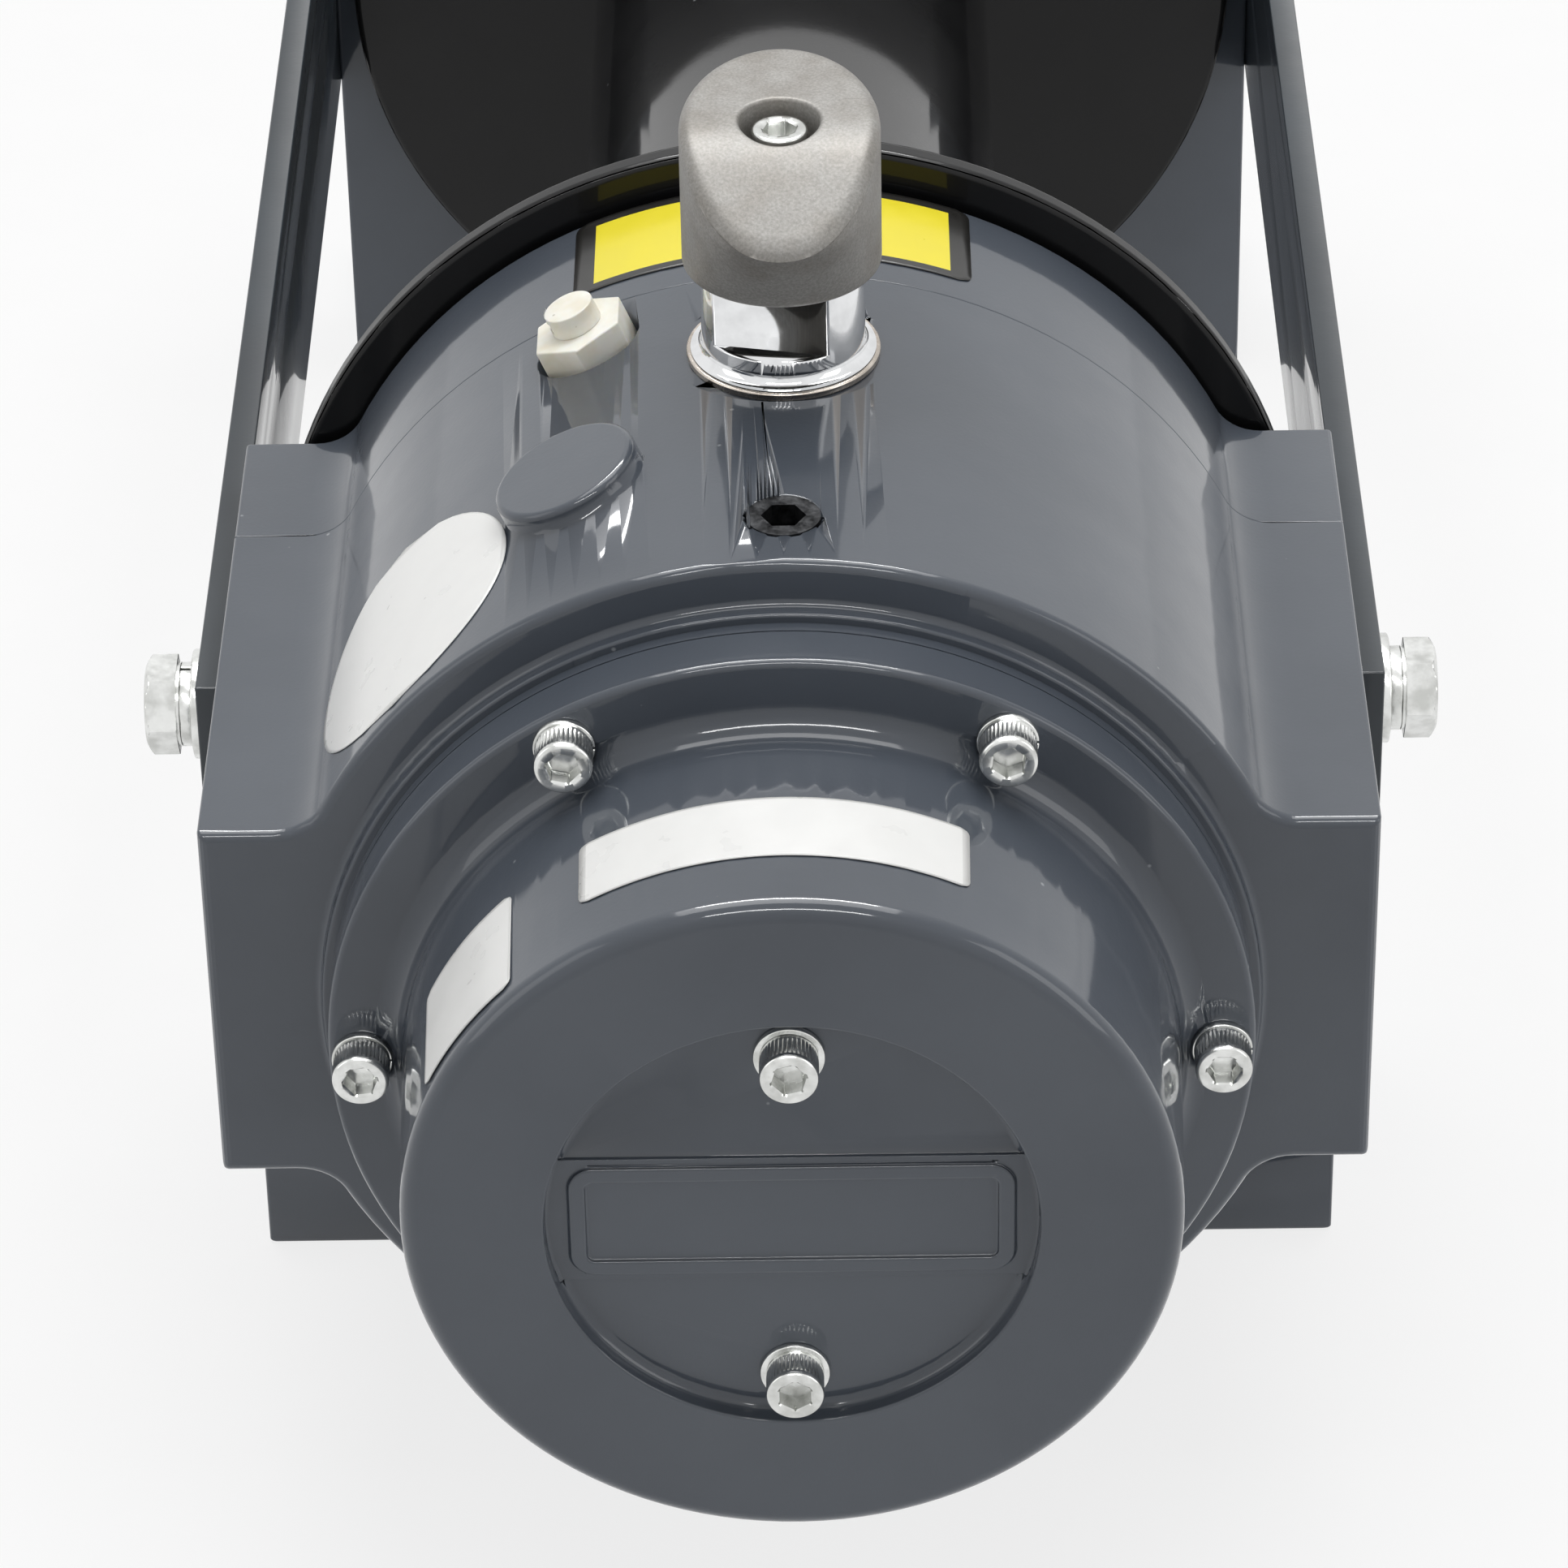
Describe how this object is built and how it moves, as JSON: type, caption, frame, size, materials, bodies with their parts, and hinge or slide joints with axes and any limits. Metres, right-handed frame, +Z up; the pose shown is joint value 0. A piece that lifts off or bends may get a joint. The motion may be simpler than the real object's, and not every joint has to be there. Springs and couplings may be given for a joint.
{
  "type": "hydraulic winch",
  "caption": "Planetary hydraulic winch: footed gear end with pull-out clutch, flanged cable drum between two tie rails, and a gerotor motor behind the far bracket.",
  "frame": {"origin": "centre of the base bolt pattern, on the mounting plane under the feet", "axes": "+Y along the drum axis from the gear end to the motor, +Z up from the mounting plane"},
  "size_m": [0.28, 0.7053, 0.2855],
  "materials": {
    "grey_paint": "gloss",
    "black_drum_paint": "gloss",
    "zinc_steel": "satin",
    "bronze": "satin",
    "black_oxide_steel": "satin",
    "seal_rubber": "matte",
    "machined_steel": "satin",
    "plated_sleeve": "polished",
    "cast_handle": "matte",
    "white_nylon": "satin",
    "motor_paint": "satin"
  },
  "bodies": {
    "frame": {"gear_housing": "grey_paint", "gear_cover": "grey_paint", "cover_screws": "zinc_steel", "cover_washers": "zinc_steel", "face_screws": "zinc_steel", "face_washers": "zinc_steel", "thrust_plate": "bronze", "drum_bracket": "grey_paint", "housing_screws": "black_oxide_steel", "gear_side_bush": "bronze", "gear_side_seal": "seal_rubber", "left_rail": "grey_paint", "right_rail": "grey_paint", "rail_bolts": "zinc_steel", "rail_lock_washers": "zinc_steel", "rail_flat_washers": "zinc_steel", "output_ring_gear": "machined_steel", "first_ring_gear": "grey_paint", "clutch_sleeve": "plated_sleeve", "clutch_washer": "plated_sleeve", "clutch_spring": "machined_steel", "vent_plug": "white_nylon", "vent_cap": "white_nylon", "fill_plug": "black_oxide_steel", "motor_bracket": "grey_paint", "motor_side_bush": "bronze", "motor_side_seal": "seal_rubber", "motor_housing": "motor_paint", "gerotor_section": "motor_paint", "motor_end_cap": "motor_paint", "motor_tie_bolts": "zinc_steel", "motor_mount_bolts": "zinc_steel"},
    "drum": {"drum_barrel": "black_drum_paint", "gear_side_flange": "black_drum_paint", "motor_side_flange": "black_drum_paint", "gear_side_hub": "machined_steel", "motor_side_hub": "machined_steel", "rope_anchor_screw": "black_oxide_steel", "output_carrier": "machined_steel", "output_planet_pins": "machined_steel"},
    "output_planet_1": {"output_planet_1": "machined_steel"},
    "output_planet_2": {"output_planet_2": "machined_steel"},
    "output_planet_3": {"output_planet_3": "machined_steel"},
    "first_carrier": {"first_carrier": "machined_steel", "output_sun": "machined_steel", "first_planet_pins": "machined_steel"},
    "first_planet_1": {"first_planet_1": "machined_steel"},
    "first_planet_2": {"first_planet_2": "machined_steel"},
    "first_planet_3": {"first_planet_3": "machined_steel"},
    "drive_line": {"first_sun": "machined_steel", "drive_shaft": "machined_steel", "shaft_coupling": "black_oxide_steel", "motor_shaft": "machined_steel"},
    "clutch_seat": {"spring_seat": "zinc_steel"},
    "clutch_handle": {"clutch_handle": "cast_handle", "handle_screw": "zinc_steel", "clutch_plunger": "machined_steel"}
  },
  "joints": [
    {"name": "drum_spin", "type": "hinge", "parent": "frame", "child": "drum", "pos_m": [0, 0, 0.125], "axis": [0, 1, 0], "continuous": true},
    {"name": "output_planet_1_spin", "type": "hinge", "parent": "drum", "child": "output_planet_1", "pos_m": [0, 0, 0.1754], "axis": [0, 1, 0], "continuous": true},
    {"name": "output_planet_2_spin", "type": "hinge", "parent": "drum", "child": "output_planet_2", "pos_m": [-0.04365, 0, 0.0998], "axis": [0, 1, 0], "continuous": true},
    {"name": "output_planet_3_spin", "type": "hinge", "parent": "drum", "child": "output_planet_3", "pos_m": [0.04365, 0, 0.0998], "axis": [0, 1, 0], "continuous": true},
    {"name": "first_carrier_spin", "type": "hinge", "parent": "frame", "child": "first_carrier", "pos_m": [0, 0, 0.125], "axis": [0, 1, 0], "continuous": true},
    {"name": "first_planet_1_spin", "type": "hinge", "parent": "first_carrier", "child": "first_planet_1", "pos_m": [0, 0, 0.164], "axis": [0, 1, 0], "continuous": true},
    {"name": "first_planet_2_spin", "type": "hinge", "parent": "first_carrier", "child": "first_planet_2", "pos_m": [-0.03377, 0, 0.1055], "axis": [0, 1, 0], "continuous": true},
    {"name": "first_planet_3_spin", "type": "hinge", "parent": "first_carrier", "child": "first_planet_3", "pos_m": [0.03377, 0, 0.1055], "axis": [0, 1, 0], "continuous": true},
    {"name": "drive_line_spin", "type": "hinge", "parent": "frame", "child": "drive_line", "pos_m": [0, 0, 0.125], "axis": [0, 1, 0], "continuous": true},
    {"name": "clutch_pull", "type": "slide", "parent": "frame", "child": "clutch_seat", "axis": [0, 0, 1], "range_m": [0, 0.012], "stiffness_N_per_m": 1500, "springref_m": -0.012, "deforming": ["clutch_spring"]},
    {"name": "clutch_turn", "type": "hinge", "parent": "clutch_seat", "child": "clutch_handle", "pos_m": [0, -0.2237, 0.26], "axis": [0, 0, 1], "range_deg": [0, 90]}
  ],
  "couplings": [
    {"joint": "output_planet_1_spin", "follows": "drum_spin", "ratio": -2.7143},
    {"joint": "output_planet_2_spin", "follows": "drum_spin", "ratio": -2.7143},
    {"joint": "output_planet_3_spin", "follows": "drum_spin", "ratio": -2.7143},
    {"joint": "first_carrier_spin", "follows": "drum_spin", "ratio": 4.8},
    {"joint": "first_planet_1_spin", "follows": "drum_spin", "ratio": -12.6},
    {"joint": "first_planet_2_spin", "follows": "drum_spin", "ratio": -12.6},
    {"joint": "first_planet_3_spin", "follows": "drum_spin", "ratio": -12.6},
    {"joint": "drive_line_spin", "follows": "drum_spin", "ratio": 24.96}
  ]
}
